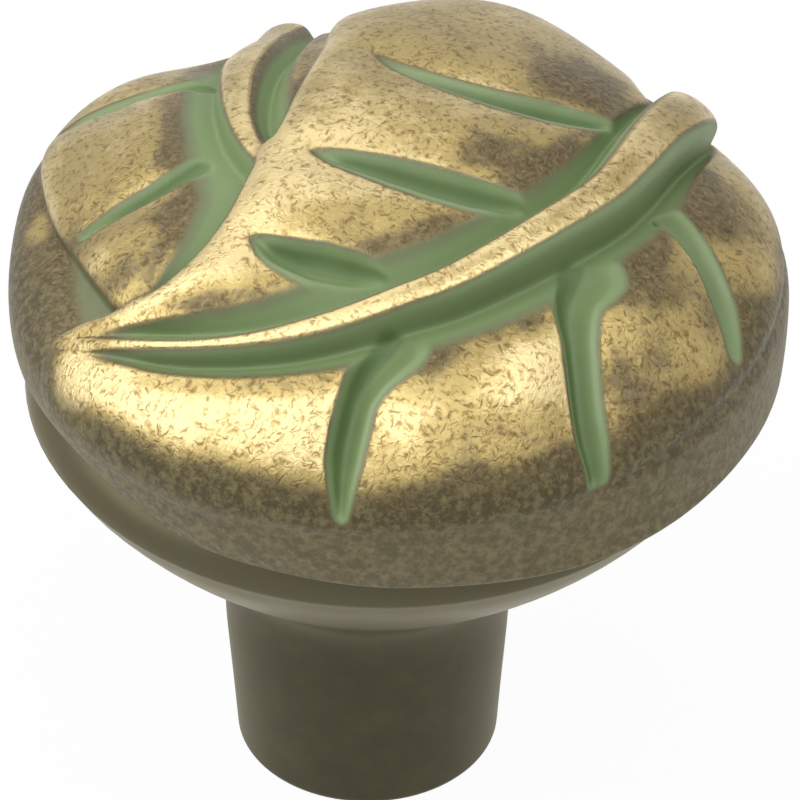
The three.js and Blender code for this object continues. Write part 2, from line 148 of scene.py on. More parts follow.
floor_paper = bpy.data.materials.new("floor_paper")
floor_paper.use_nodes = True
paper = floor_paper.node_tree
paper.nodes.clear()
lit = add_node(paper, "ShaderNodeBsdfDiffuse", {"Color": FLOOR_PAPER})
white = add_node(paper, "ShaderNodeEmission", {"Color": WHITE, "Strength": 1.0})
whiteness = calculate(paper, "MULTIPLY", seen_directly(paper), FLOOR_WHITENESS)
paper_mix = add_node(paper, "ShaderNodeMixShader", {0: whiteness, 1: lit.outputs[0], 2: white.outputs[0]})
add_node(paper, "ShaderNodeOutputMaterial", {"Surface": paper_mix.outputs[0]})
floor_mesh.materials.append(floor_paper)


# The leaves' pattern
# The mould maker draws both leaves flat, in millimetres, and wraps the drawing over the dome: a point's
# distance from the middle of the drawing is its distance from the crown, measured along the surface.
# A midrib's points are x, y, half width of the rib, half width of the trough on its left and right.
FRONT_MIDRIB = [
    (-16.3, -8.1, 0.35, 0.35, 0.35),
    (-14.5, -9.0, 0.38, 0.5, 0.6),
    (-11.3, -10.3, 0.36, 1.35, 1.25),
    (-8.9, -11.0, 0.38, 1.85, 1.55),
    (-6.6, -11.3, 0.45, 2.2, 1.8),
    (-4.4, -11.2, 0.58, 2.65, 2.1),
    (-2.1, -10.7, 0.64, 3.15, 2.5),
    (0.1, -9.9, 0.7, 2.95, 2.9),
    (2.2, -9.0, 0.8, 2.9, 3.0),
    (4.4, -7.5, 0.9, 2.8, 3.2),
    (6.6, -5.6, 1.0, 2.7, 3.25),
    (8.9, -3.2, 1.05, 2.7, 2.95),
    (10.3, -0.8, 1.15, 2.6, 3.0),
    (11.8, 2.6, 1.3, 2.25, 2.4),
    (13.7, 6.6, 1.5, 2.0, 2.1),
]
REAR_MIDRIB = [
    (-11.3, -8.0, 0.15, 0.9, 0.3),
    (-8.4, -5.4, 0.3, 2.2, 1.1),
    (-6.4, -2.6, 0.4, 3.6, 2.4),
    (-6.1, -0.6, 0.5, 3.8, 2.6),
    (-6.8, 1.3, 0.6, 3.35, 2.6),
    (-7.3, 3.3, 0.7, 3.0, 2.6),
    (-7.5, 6.1, 0.95, 3.0, 2.6),
    (-7.4, 8.8, 1.15, 3.0, 2.6),
    (-7.0, 11.4, 1.3, 3.0, 2.6),
    (-6.6, 13.8, 1.35, 3.0, 2.6),
    (-5.8, 16.2, 1.3, 2.6, 2.4),
]
# Outlines: x, y
FRONT_OUTLINE = [
    (-17.5, -7.6),
    (-18.9, -10.6),
    (-16.8, -13.6),
    (-14.0, -16.3),
    (-10.4, -18.7),
    (-6.4, -20.0),
    (-2.4, -20.7),
    (1.6, -20.6),
    (5.6, -19.8),
    (9.5, -17.9),
    (13.0, -15.1),
    (16.0, -11.6),
    (18.2, -7.4),
    (19.4, -2.8),
    (19.3, 1.6),
    (18.2, 5.4),
    (15.9, 8.0),
    (13.6, 7.6),
    (12.2, 8.6),
    (11.8, 12.4),
    (8.6, 16.0),
    (4.2, 17.9),
    (0.6, 18.1),
    (-2.2, 15.8),
    (-3.2, 12.4),
    (-3.5, 9.0),
    (-4.6, 5.1),
    (-5.5, 2.3),
    (-6.3, 0.3),
    (-7.3, -2.1),
    (-8.0, -3.9),
    (-9.0, -5.5),
    (-10.3, -6.6),
    (-11.6, -7.1),
    (-13.5, -7.3),
    (-15.6, -7.1),
]
REAR_OUTLINE = [
    (-13.4, -7.6),
    (-14.6, -5.8),
    (-16.1, -2.7),
    (-17.2, 0.2),
    (-17.7, 3.2),
    (-17.6, 6.8),
    (-16.1, 10.6),
    (-13.2, 14.0),
    (-9.0, 16.7),
    (-4.0, 18.2),
    (1.0, 18.0),
    (3.0, 12.0),
    (0.0, 2.0),
    (-6.0, -6.0),
    (-10.5, -8.6),
]
# Side veins: x, y, half width
FRONT_VEINS = [
    [
        (-1.3, 7.4, 0.08),
        (0.1, 5.7, 0.25),
        (2.3, 4.3, 0.42),
        (4.6, 3.4, 0.6),
        (6.9, 3.0, 0.75),
        (8.7, 3.0, 0.55),
        (10.2, 3.4, 0.15),
    ],
    [
        (-4.0, -0.6, 0.08),
        (-2.3, -1.4, 0.45),
        (-0.1, -2.3, 0.75),
        (1.7, -3.0, 0.85),
        (3.4, -3.5, 0.85),
        (5.0, -3.8, 0.6),
        (6.4, -3.9, 0.15),
    ],
    [
        (-6.3, -5.9, 0.2),
        (-5.3, -6.7, 0.65),
        (-3.6, -7.5, 1.0),
        (-2.1, -8.0, 0.85),
        (-0.9, -8.3, 0.5),
        (0.1, -8.4, 0.12),
    ],
    [
        (-0.3, -12.0, 1.2),
        (-1.4, -13.4, 0.9),
        (-2.0, -14.6, 0.72),
        (-2.4, -16.0, 0.72),
        (-2.7, -17.4, 0.68),
        (-2.9, -19.6, 0.3),
    ],
    [
        (8.3, -7.4, 1.4),
        (7.9, -9.0, 0.95),
        (8.1, -11.0, 0.65),
        (8.6, -13.8, 0.6),
        (9.1, -15.6, 0.62),
        (9.9, -17.5, 0.4),
    ],
    [
        (12.3, -2.6, 0.7),
        (13.2, -3.3, 0.55),
        (14.3, -4.6, 0.5),
        (15.3, -6.4, 0.5),
        (16.2, -8.7, 0.3),
    ],
]
REAR_VEINS = [
    [
        (-15.4, -1.55, 0.25),
        (-13.2, -1.05, 0.4),
        (-11.6, -0.6, 0.5),
        (-10.2, 0.1, 0.6),
        (-9.2, 0.7, 0.7),
    ],
    [
        (-16.6, 8.0, 0.1),
        (-15.0, 8.5, 0.3),
        (-12.5, 9.0, 0.5),
        (-10.5, 9.1, 0.7),
        (-9.3, 9.2, 0.8),
    ],
]
STROKE_STEPS = 6  # straight pieces between two points of a drawn line


def smoothstep(start, end, value):
    share = np.clip((value - start) / (end - start), 0, 1)
    return share * share * (3 - 2 * share)


def mix(start, end, share):
    return start + (end - start) * share


def draw_line(points, closed=False):
    """A smooth line through the points, in short straight pieces. Columns: x, y and the widths."""
    points = np.array(points)
    spans = len(points) if closed else len(points) - 1
    if closed:
        padded = np.vstack([points[-1], points, points[:2]])
    else:
        padded = np.vstack([2 * points[0] - points[1], points, 2 * points[-1] - points[-2]])
    line = []
    for span in range(spans):
        before, start, end, after = padded[span : span + 4]
        for t in np.arange(STROKE_STEPS) / STROKE_STEPS:
            leaving = (end - before) / 2
            arriving = (after - start) / 2
            bend = 2 * start - 2 * end + leaving + arriving
            turn = -3 * start + 3 * end - 2 * leaving - arriving
            place = ((bend * t + turn) * t + leaving) * t + start
            widths = mix(start, end, t)[2:]
            line.append(np.concatenate([place[:2], widths]))
    line.append(points[0] if closed else points[-1])
    return np.array(line)


def nearest(line, x, y):
    """Distance to a drawn line, its widths there, whether the place is on its left, and how far along."""
    best = np.full(x.shape, np.inf)
    piece = np.zeros(x.shape, int)
    share = np.zeros(x.shape)
    for i, (start, end) in enumerate(zip(line[:-1, :2], line[1:, :2])):
        step = end - start
        along = np.clip(((x - start[0]) * step[0] + (y - start[1]) * step[1]) / (step @ step), 0, 1)
        gap = (x - start[0] - along * step[0]) ** 2 + (y - start[1] - along * step[1]) ** 2
        closer = gap < best
        best[closer] = gap[closer]
        piece[closer] = i
        share[closer] = along[closer]
    start = line[piece]
    end = line[piece + 1]
    widths = mix(start[:, 2:], end[:, 2:], share[:, None])
    left = (end[:, 0] - start[:, 0]) * (y - start[:, 1]) - (end[:, 1] - start[:, 1]) * (x - start[:, 0]) > 0
    return np.sqrt(best), widths, left, (piece + share) / (len(line) - 1)


def inside_distance(outline, x, y):
    """Distance inside a closed outline, negative outside it."""
    inside = np.zeros(x.shape, bool)
    for start, end in zip(outline[:-1], outline[1:]):
        if start[1] != end[1]:
            crossing = start[0] + (y - start[1]) * (end[0] - start[0]) / (end[1] - start[1])
            inside ^= ((start[1] > y) != (end[1] > y)) & (x < crossing)
    gap = nearest(outline, x, y)[0]
    return np.where(inside, gap, -gap)


# The head's relief
# The leaves stand proud of the ground between them. Each has a round midrib in a trough, side veins cut
# into it, and a blade that swells a little between them. Heights are along the dome's own normal.
GROUND_DEPTH = 1.6
GROUND_FADE = (15.5, 20.5)
# Where the ground swells or sinks: x, y, reach and height
SWELLS = [
    (12.0, 12.5, 5.5, -0.55),
    (17.5, 7.0, 4.0, -0.45),
    (4.8, 14.5, 4.2, 0.5),
    (-2.0, 17.0, 2.6, -0.5),
    (-8.5, 14.5, 4.0, -0.6),
    (-13.6, 11.4, 3.2, 0.3),
    (-16.8, 7.5, 4.5, 0.65),
]
LEAF_LIP = 0.2
EDGE_WIDTH = 0.7
CROWN_RISE = 0.4
CROWN_WIDTH = 2.6
TROUGH_OPENING = 1.1
VEIN_WALL = 1.3
CUT_BLEND = 4
RAMP_ROUNDING = 0.3
RIB_WALL = 0.45
RIB_SHOULDER = 0.45
GRID_LEVELS = 9  # the finest grid has 2 to this power of cells on each side
GRID_CELLS = 2**GRID_LEVELS
VEIN_CRISPNESS = 2.5  # how much sharper the paint's edge is in a vein than in a trough
VEIN_SPREAD = 1.1  # the paint reaches this far over a vein's edge
VEIN_TIP = (0.05, 0.4)  # half widths over which the paint in a vein's tip thickens
VEIN_PAINTED_SHADE = 0.9  # painted shade: the paint is made darker green on the wall of a vein that faces the leaf's stub
# Where across a vein, and in how wide a vein, that painted shade lies
SHADED_WALL_SPAN = (0.1, 0.5)
SHADED_VEIN_WIDTHS = (0.2, 0.5)
RIB_BRIGHT = (0.5, 1.05)  # shares of a midrib's half width between which its bright top turns dark
RIB_STAIN = 2
RIB_PAINT_EDGE = 0.12
BARE_WALL_CHANGE = (0.4, 0.8)  # shares of the midrib's length
LEAF_PAINT_EDGE = 0.6
SMALLEST = 0.001  # keeps a width from being nought
STAIN_REACH = 2.4  # how far from a trough the stain was held
POOL_TOP = -1.2  # paint lies on the ground beside the rear leaf, below this place
POOL_DEPTH = 0.2
POOL_SPREAD = 0.33
POOL_WIDEST = 2.0
POOL_EDGE = (0.2, -0.5)
POOL_END = (17.0, 18.2)
SWELLING_BLUR = 160  # rounds of smoothing, a quarter of a cell squared each
RELIEF_BLUR = 6

# The bare wall is how far the metal shows over a midrib's right edge, at the tip and at the stub
FRONT_LEAF = {
    "outline": draw_line(FRONT_OUTLINE, closed=True),
    "midrib": draw_line(FRONT_MIDRIB),
    "veins": [draw_line(points) for points in FRONT_VEINS],
    "rise": 1.1,
    "trough": 0.95,
    "vein_depth": 1.05,
    "proud": (0.02, 1.4),
    "bare_wall": (0.0, -0.3),
    "smear": 5.0,
}
REAR_LEAF = {
    "outline": draw_line(REAR_OUTLINE, closed=True),
    "midrib": draw_line(REAR_MIDRIB),
    "veins": [draw_line(points) for points in REAR_VEINS],
    "rise": 0.45,
    "trough": 0.8,
    "vein_depth": 0.6,
    "proud": (0.1, 0.85),
    "bare_wall": (0.15, 0.15),
    "smear": 1.0,
}


def soft_ramp(value):
    """A ramp from nought to one that starts softly."""
    share = np.clip(value, 0, 1)
    rounded = share * share / (2 * RAMP_ROUNDING)
    straight = share - RAMP_ROUNDING / 2
    return np.where(share < RAMP_ROUNDING, rounded, straight) / (1 - RAMP_ROUNDING / 2)


def blurred(field, rounds):
    """The field of an even raster after rounds of smoothing."""
    grid = field.reshape(GRID_CELLS + 1, GRID_CELLS + 1)
    for _ in range(rounds):
        spread = np.pad(grid, 1, mode="edge")
        grid = (4 * grid + spread[:-2, 1:-1] + spread[2:, 1:-1] + spread[1:-1, :-2] + spread[1:-1, 2:]) / 8
    return grid.ravel()


def lay_leaf(leaf, x, y, ground, fade, under, under_paint, under_held):
    """Lays a leaf on what is under it. Gives the height, how deep in a painted recess a place is, raised
    for painted shade on one wall of each vein, and how near to a trough, where the stain was held."""
    edge = inside_distance(leaf["outline"], x, y)
    from_rib, widths, left, along = nearest(leaf["midrib"], x, y)
    rib_half = widths[:, 0]
    trough_half = np.where(left, widths[:, 1], widths[:, 2])
    from_cuts = np.minimum(edge, from_rib - trough_half)
    openness = smoothstep(0, TROUGH_OPENING, trough_half - rib_half)
    trough_depth = leaf["trough"] * openness
    foot = rib_half + RIB_WALL * openness
    across = np.clip((from_rib - foot) / np.maximum(trough_half - foot, SMALLEST), 0, 1)
    sunk = np.where(from_rib < trough_half, soft_ramp(1 - across), 0)
    cuts = (trough_depth * sunk) ** CUT_BLEND
    paint = openness * (1 - across)
    for vein in leaf["veins"]:
        distance, vein_widths, vein_left, _ = nearest(vein, x, y)
        half = vein_widths[:, 0]
        from_cuts = np.minimum(from_cuts, distance - half)
        depth = np.minimum(leaf["vein_depth"], half * VEIN_WALL)
        share = np.minimum(distance / half, 1)
        cuts += (depth * (1 - share**2)) ** CUT_BLEND
        shaded = vein_left == left
        spread = np.where(shaded, VEIN_SPREAD, 1 + leaf["smear"] * (VEIN_SPREAD - 1))
        filled = np.clip(VEIN_CRISPNESS * (spread - distance / half), 0, 1) * smoothstep(*VEIN_TIP, half)
        # Painted shade: the paint value is raised on a vein's shaded wall, which then comes out darker
        # green
        painted_shade = VEIN_PAINTED_SHADE * smoothstep(*SHADED_WALL_SPAN, 1 - share) * shaded
        paint = np.maximum(paint, filled + painted_shade * smoothstep(*SHADED_VEIN_WIDTHS, half))
    cut = cuts ** (1 / CUT_BLEND)
    held = openness * np.clip(1 - (from_rib - trough_half) / STAIN_REACH, 0, 1)

    level = ground + leaf["rise"] * fade + LEAF_LIP
    swollen = np.clip(from_cuts / CROWN_WIDTH, 0, 1)
    swelling = blurred(CROWN_RISE * swollen * (2 - swollen), SWELLING_BLUR)
    risen = np.clip(edge / EDGE_WIDTH, 0, 1)
    over_edge = np.sqrt(1 - (1 - risen) ** 2)
    height = mix(under, level + swelling - cut, over_edge)
    paint = mix(under_paint, paint, smoothstep(0, LEAF_PAINT_EDGE, risen))
    held = mix(under_held, held, smoothstep(0, LEAF_PAINT_EDGE, risen))

    on_rib = from_rib < foot
    top = level + mix(leaf["proud"][0], leaf["proud"][1], along)
    shoulder = top - RIB_SHOULDER * rib_half
    bed = np.minimum(shoulder, level - trough_depth)
    roundness = np.sqrt(1 - np.minimum(1, from_rib / rib_half) ** 2)
    wall = np.clip((from_rib - rib_half) / np.maximum(foot - rib_half, SMALLEST), 0, 1)
    rib_height = np.maximum(height, mix(mix(shoulder, bed, wall), top, roundness))
    height = np.where(on_rib, rib_height, np.where(edge > 0, height, under))
    right_wall = mix(leaf["bare_wall"][0], leaf["bare_wall"][1], smoothstep(*BARE_WALL_CHANGE, along))
    side_wall = np.where(left, 0, right_wall)
    bare = smoothstep(RIB_PAINT_EDGE, -RIB_PAINT_EDGE, from_rib - rib_half - side_wall)
    paint = np.where(on_rib, paint * (1 - bare), np.where(edge > 0, paint, under_paint))
    rib_stain = RIB_STAIN * smoothstep(*RIB_BRIGHT, (from_rib + np.abs(side_wall) / 2) / rib_half)
    held = np.where(on_rib, mix(held, rib_stain, bare), np.where(edge > 0, held, under_held))
    return height, paint, held


def relief(x, y):
    distance = np.hypot(x, y)
    fade = 1 - smoothstep(*GROUND_FADE, distance)
    ground = -GROUND_DEPTH * fade
    for centre_x, centre_y, reach, height in SWELLS:
        ground = ground + height * np.exp(-(((x - centre_x) / reach) ** 2) - ((y - centre_y) / reach) ** 2)
    beside = -inside_distance(REAR_LEAF["outline"], x, y)
    pool_width = np.clip(POOL_SPREAD * (POOL_TOP - y), 0, POOL_WIDEST)
    pool = POOL_DEPTH * smoothstep(*POOL_EDGE, beside - pool_width) * (1 - smoothstep(*POOL_END, distance))
    rear, rear_paint, rear_held = lay_leaf(REAR_LEAF, x, y, ground, fade, ground, pool, np.ones(x.shape))
    return lay_leaf(FRONT_LEAF, x, y, ground, fade, rear, rear_paint, rear_held)


# The finish
# The casting is brass plated, stained dark all over, and rubbed back on the leaves until the brass
# shows through in streaks. Green paint then fills the recesses. Painted shade darkens the metal toward
# the rim and in the belt at the dome's edge, and the green on one wall of each vein; some lighter places
# are painted highlight.
BRIGHT_BRASS = (0.585, 0.47, 0.235, 1)
TONED_BRASS = (0.36, 0.275, 0.105, 1)
BROWN_STAIN = (0.10, 0.076, 0.027, 1)
PURPLE_STAIN = (0.16, 0.122, 0.062, 1)
EDGE_STAIN = (0.13, 0.1, 0.04, 1)  # the line along the paint
# The belt at the dome's edge is dark stain, and painted shade where the brass turns down from the light
BELT_STAIN_AND_SHADE = (0.066, 0.052, 0.022, 1)
BELT_FLECKS = (0.178, 0.15, 0.068, 1)
SIDE_STAIN = (0.115, 0.096, 0.049, 1)
SIDE_FLECKS = (0.205, 0.172, 0.09, 1)
BOWL_TONE = (0.088, 0.082, 0.046, 1)
STEM_TONE = (0.044, 0.041, 0.022, 1)
STROKE_SHADE = (0.5, 0.43, 0.33, 1)  # a dark stroke multiplies the metal by this
GREEN_PAINT = (0.184, 0.258, 0.112, 1)
THIN_PAINT = (0.15, 0.18, 0.09, 1)
# Painted shade, mostly: the darker green on a vein's shaded wall, with a little of it in the deepest paint
DEEP_AND_SHADED_GREEN = (0.10, 0.165, 0.055, 1)
PLAIN_TINT = (1, 1, 1, 1)
GRAZING_TINT = (1, 0.93, 0.74, 1)  # what the dark finish reflects at a low angle

# What varies over the finish: its size in millimetres, and how fine and how rough its noise is
PATCHES = (3.5, 3.0, 0.55)
SMALL_PATCHES = (1.1, 2.0, 0.55)
CROWDS = (2.4, 2.0, 0.5)
GRIT = (0.45, 4.0, 0.75)
MOTTLE = (0.3, 2.0, 0.6)
PAINT_EDGE_WAVES = (0.9, 2.0, 0.5)
STEM_PATCHES = (1.5, 4.0, 0.6)
STEM_GRAIN = (0.2, 2.0, 0.6)
WIDE_STROKE_SPACING = 0.52  # in millimetres
NARROW_STROKE_SPACING = 0.34
BRIGHT_STROKE_SPACING = 0.42

# What each thing adds to the tone, which is nought where the brass is bright and one where it is dark
LEAST_TONE = -0.4
PATCH_TONE = 1.0
SMALL_PATCH_TONE = 0.5
MOTTLE_TONE = 0.5
# painted shade: what the darkening toward the rim adds
RIM_SHADE_TONE = 0.85
TROUGH_TONE = 0.6
RIB_TONE = 1.3
CREST_TONE = -2.5

# Where one look turns to the next, by the tone, the stain held, the paint or the noise
HELD_BY_TROUGH = (0.35, 1.0)
HELD_BY_RIB = (1.0, 2.0)
BRIGHT_TO_TONED = (0.0, 0.5)
TONED_TO_STAINED = (0.5, 1.0)
BROWN_TO_PURPLE = (0.4, 0.6)
BELT_DARK_TO_FLECKS = (0.42, 0.64)
STAIN_TO_SIDE_FLECKS = (0.36, 0.68)
BARE_TO_PAINTED = (0.08, 0.34)
THIN_TO_FULL = (0.28, 0.6)
# Paint above full turns to the darker green of the painted shade
FULL_TO_SHADED_GREEN = (0.85, 1.7)
PAINT_EDGE_WAVE = 0.12
EDGE_LINE_FADES = (0.0, 0.3)
EDGE_LINE_STRENGTH = (1.0, 0.6)
FLECKS_BY_TONE = (0.3, 0.9)
METALLIC_BY_TONE = (0.3, 1.0)
ROUGHNESS_BY_TONE = (0.2, 1.0)
LACQUER_BY_TONE = (0.4, 1.0)
STEM_BROWNS = (0.3, 0.75)
STEM_BROWN = 0.35

# Where one look turns to the next on the way down the head, in millimetres along the surface
# Painted shade: the metal darkens toward the rim between the first two
SHADE_TOWARD_RIM = (17.6, 19.8)
# The belt is stain and painted shade
BELT_STARTS = (17.9, 19.7)
SIDE_STARTS = (20.2, 20.8)
BELT_DRIFT = 0.8  # how far a stained place draws the belt up
BELT_COVER = 0.8
SIDE_COVER = 0.9
STEM_TO_BOWL = (9.0 * MM, 14.0 * MM)  # heights

# How the strokes lie, in parts of their spacing
STROKE_LENGTH = (0.15, 0.52)
STROKE_WIDTH = (0.0, 0.27)
STROKE_THINNESS = (0.7, 1.2)  # the least, and how much more it may be
STROKE_WANDER = 1.5
STROKE_WANDER_SCALE = 0.9
STROKE_LUCK = (-0.1, 0.1)
CROWDING = (0.38, 0.62)
FEWEST_AND_MOST = (0.35, 1.0)
STROKES_BY_TONE = 0.45
STROKES_BY_CREST = -2.0
BRIGHT_STROKES_BY_TONE = -0.3
MOST_BRIGHT_STROKES = 0.9
NARROW_STROKE_STRENGTH = 0.7
STROKES_BREAK = (0.35, 0.55)
BROKEN_STRENGTH = (0.45, 1.0)
BRIGHT_FLECK_STRENGTH = 0.25

BRASS_METALLIC = (0.95, 0.6)  # bright and stained
BRASS_ROUGHNESS = (0.36, 0.46)
BRASS_LACQUER = (0.2, 0.06)
PAINT_ROUGHER = 0.15
SIDE_ROUGHER = 0.08
BRASS_RELIEF = 0.02 * MM
MOTTLE_RELIEF = 1.6
BRIGHT_STROKE_RELIEF = 0.4
STEM_METALLIC = 0.7
STEM_ROUGHNESS = (0.42, 0.34)  # the stem and the bowl
STEM_ROUGHER = 0.12
STEM_RELIEF = 0.004 * MM
STEM_LACQUER = 0.15
LACQUER_ROUGHNESS = 0.38


def make_group(name, inputs, outputs):
    """An empty node group with the named sockets, and its two end nodes."""
    group = bpy.data.node_groups.new(name, "ShaderNodeTree")
    for socket, kind, value in inputs:
        made = group.interface.new_socket(name=socket, in_out="INPUT", socket_type=kind)
        made.default_value = value
    for socket, kind in outputs:
        group.interface.new_socket(name=socket, in_out="OUTPUT", socket_type=kind)
    return group, group.nodes.new("NodeGroupInput"), group.nodes.new("NodeGroupOutput")


def remap(tree, value, start, end, low=0.0, high=1.0):
    """A smooth step from low at start to high at end."""
    inputs = {"Value": value, "From Min": start, "From Max": end, "To Min": low, "To Max": high}
    return add_node(tree, "ShaderNodeMapRange", inputs, interpolation_type="SMOOTHSTEP").outputs["Result"]


def blend(tree, share, first, second, blend_type="MIX"):
    inputs = {0: share, 6: first, 7: second}
    return add_node(tree, "ShaderNodeMix", inputs, data_type="RGBA", blend_type=blend_type).outputs[2]


def noise(tree, vector, size, detail, roughness):
    """Soft noise from nought to one, with lumps of about the size in millimetres."""
    inputs = {"Vector": vector, "Scale": 1 / (size * MM), "Detail": detail, "Roughness": roughness}
    return add_node(tree, "ShaderNodeTexNoise", inputs).outputs[0]


def move(tree, operation, first, second):
    """A vector sum or difference, or a vector made longer."""
    other = "Scale" if operation == "SCALE" else 1
    return add_node(tree, "ShaderNodeVectorMath", {0: first, other: second}, operation=operation).outputs[0]


# Strokes: short bent marks where the stain held, or where it was rubbed away. One lies in each cell of a
# pattern in millimetres, at any angle.
strokes, strokes_in, strokes_out = make_group(
    "short_strokes",
    [
        ("Pattern", "NodeSocketVector", (0, 0, 0)),
        ("Amount", "NodeSocketFloat", 0.5),
        ("Spacing", "NodeSocketFloat", WIDE_STROKE_SPACING),
    ],
    [("Mask", "NodeSocketFloat")],
)
closeness = calculate(strokes, "DIVIDE", 1.0, strokes_in.outputs["Spacing"])
place = move(strokes, "SCALE", strokes_in.outputs["Pattern"], closeness)
wander = {"Vector": place, "Scale": STROKE_WANDER_SCALE, "Detail": 1.0}
wander = add_node(strokes, "ShaderNodeTexNoise", wander).outputs["Color"]
place = move(strokes, "ADD", place, move(strokes, "SCALE", wander, STROKE_WANDER))
cells = {"Vector": place, "Scale": 1.0}
centre = add_node(strokes, "ShaderNodeTexVoronoi", cells, voronoi_dimensions="2D").outputs["Position"]
offset = move(strokes, "SUBTRACT", place, centre)
chance = add_node(strokes, "ShaderNodeTexWhiteNoise", {"Vector": centre}, noise_dimensions="2D")
angle = calculate(strokes, "MULTIPLY", chance.outputs["Value"], math.tau)
turned = {"Vector": offset, "Angle": angle}
turned = add_node(strokes, "ShaderNodeVectorRotate", turned, rotation_type="Z_AXIS")
turned = add_node(strokes, "ShaderNodeSeparateXYZ", {0: turned.outputs[0]})
along = calculate(strokes, "ABSOLUTE", turned.outputs["X"])
across = calculate(strokes, "ABSOLUTE", turned.outputs["Y"])
least, more = STROKE_THINNESS
thinness = calculate(strokes, "MULTIPLY_ADD", chance.outputs["Value"], more, least)
across = calculate(strokes, "MULTIPLY", across, thinness)
within_length = remap(strokes, along, *STROKE_LENGTH, 1.0, 0.0)
within_width = remap(strokes, across, *STROKE_WIDTH, 1.0, 0.0)
mask = calculate(strokes, "MULTIPLY", within_length, within_width)
chances = add_node(strokes, "ShaderNodeSeparateColor", {0: chance.outputs["Color"]})
luck = calculate(strokes, "SUBTRACT", strokes_in.outputs["Amount"], chances.outputs[0])
mask = calculate(strokes, "MULTIPLY", mask, remap(strokes, luck, *STROKE_LUCK))
strokes.links.new(mask, strokes_out.inputs["Mask"])


def place_strokes(tree, pattern, amount, spacing):
    marks = add_node(tree, "ShaderNodeGroup", node_tree=strokes)
    tree.links.new(pattern, marks.inputs["Pattern"])
    tree.links.new(amount, marks.inputs["Amount"])
    marks.inputs["Spacing"].default_value = spacing
    return marks.outputs["Mask"]


def start_material(name):
    material = bpy.data.materials.new(name)
    material.use_nodes = True
    material.node_tree.nodes.clear()
    return material, material.node_tree


def finish_material(tree, color, metallic, roughness, height, relief_depth, lacquer, tint):
    """A brass surface under thin lacquer. The tint is what it reflects at a low angle."""
    bump = add_node(tree, "ShaderNodeBump", {"Height": height, "Distance": relief_depth, "Strength": 1.0})
    inputs = {"Base Color": color, "Metallic": metallic, "Roughness": roughness, "Coat Weight": lacquer}
    surface = add_node(tree, "ShaderNodeBsdfPrincipled", {**inputs, "Normal": bump.outputs[0]})
    surface.inputs["Coat Roughness"].default_value = LACQUER_ROUGHNESS
    surface.inputs["Specular Tint"].default_value = tint
    add_node(tree, "ShaderNodeOutputMaterial", {"Surface": surface.outputs[0]})


def field(tree, name):
    return add_node(tree, "ShaderNodeAttribute", attribute_name=name).outputs["Fac"]


leaf_finish, tree = start_material("rubbed_brass_and_green_paint")
place = add_node(tree, "ShaderNodeTexCoord").outputs["Object"]
pattern = add_node(tree, "ShaderNodeAttribute", attribute_name="pattern").outputs["Vector"]
way_down = field(tree, "way_down")
paint = field(tree, "paint")
held = field(tree, "held")
crest = field(tree, "crest")
stain_and_highlight = field(tree, "stain_and_highlight")
belt_way = calculate(tree, "MULTIPLY_ADD", stain_and_highlight, BELT_DRIFT, way_down)
patches = noise(tree, place, *PATCHES)
small_patches = noise(tree, place, *SMALL_PATCHES)
mottle = noise(tree, place, *MOTTLE)
tone = calculate(tree, "MULTIPLY_ADD", patches, PATCH_TONE, LEAST_TONE)
tone = calculate(tree, "MULTIPLY_ADD", small_patches, SMALL_PATCH_TONE, tone)
# Stains darken the metal; a negative amount lightens it, partly as painted highlight
tone = calculate(tree, "ADD", tone, stain_and_highlight)
# Painted shade: the metal darkens on the way down to the rim, standing in for the dark surroundings the
# turned-down brass reflects
tone = calculate(tree, "ADD", tone, remap(tree, belt_way, *SHADE_TOWARD_RIM, 0.0, RIM_SHADE_TONE))
tone = calculate(tree, "MULTIPLY_ADD", remap(tree, held, *HELD_BY_TROUGH), TROUGH_TONE, tone)
tone = calculate(tree, "ADD", tone, remap(tree, held, *HELD_BY_RIB, 0.0, RIB_TONE))
tone = calculate(tree, "MULTIPLY_ADD", crest, CREST_TONE, tone)
tone = calculate(tree, "SUBTRACT", tone, MOTTLE_TONE / 2)
tone = calculate(tree, "MULTIPLY_ADD", mottle, MOTTLE_TONE, tone, clamp=True)

crowd = remap(tree, noise(tree, place, *CROWDS), *CROWDING, *FEWEST_AND_MOST)
stroke_amount = calculate(tree, "MULTIPLY_ADD", tone, STROKES_BY_TONE, crowd)
stroke_amount = calculate(tree, "MULTIPLY_ADD", crest, STROKES_BY_CREST, stroke_amount)
wide_strokes = place_strokes(tree, pattern, stroke_amount, WIDE_STROKE_SPACING)
narrow_strokes = place_strokes(tree, pattern, stroke_amount, NARROW_STROKE_SPACING)
narrow_strokes = calculate(tree, "MULTIPLY", narrow_strokes, NARROW_STROKE_STRENGTH)
dark_strokes = calculate(tree, "MAXIMUM", wide_strokes, narrow_strokes)
broken = remap(tree, mottle, *STROKES_BREAK, *BROKEN_STRENGTH)
dark_strokes = calculate(tree, "MULTIPLY", dark_strokes, broken)
bright_amount = calculate(tree, "MULTIPLY_ADD", tone, BRIGHT_STROKES_BY_TONE, MOST_BRIGHT_STROKES)
bright_strokes = place_strokes(tree, pattern, bright_amount, BRIGHT_STROKE_SPACING)

metal = blend(tree, remap(tree, tone, *BRIGHT_TO_TONED), BRIGHT_BRASS, TONED_BRASS)
brown = blend(tree, remap(tree, mottle, *BROWN_TO_PURPLE), BROWN_STAIN, PURPLE_STAIN)
metal = blend(tree, remap(tree, tone, *TONED_TO_STAINED), metal, brown)
darkened = blend(tree, 1.0, metal, STROKE_SHADE, "MULTIPLY")
metal = blend(tree, dark_strokes, metal, darkened)
flecks = remap(tree, tone, *FLECKS_BY_TONE, 0.0, BRIGHT_FLECK_STRENGTH)
metal = blend(tree, calculate(tree, "MULTIPLY", bright_strokes, flecks), metal, TONED_BRASS)

grit = noise(tree, place, *GRIT)
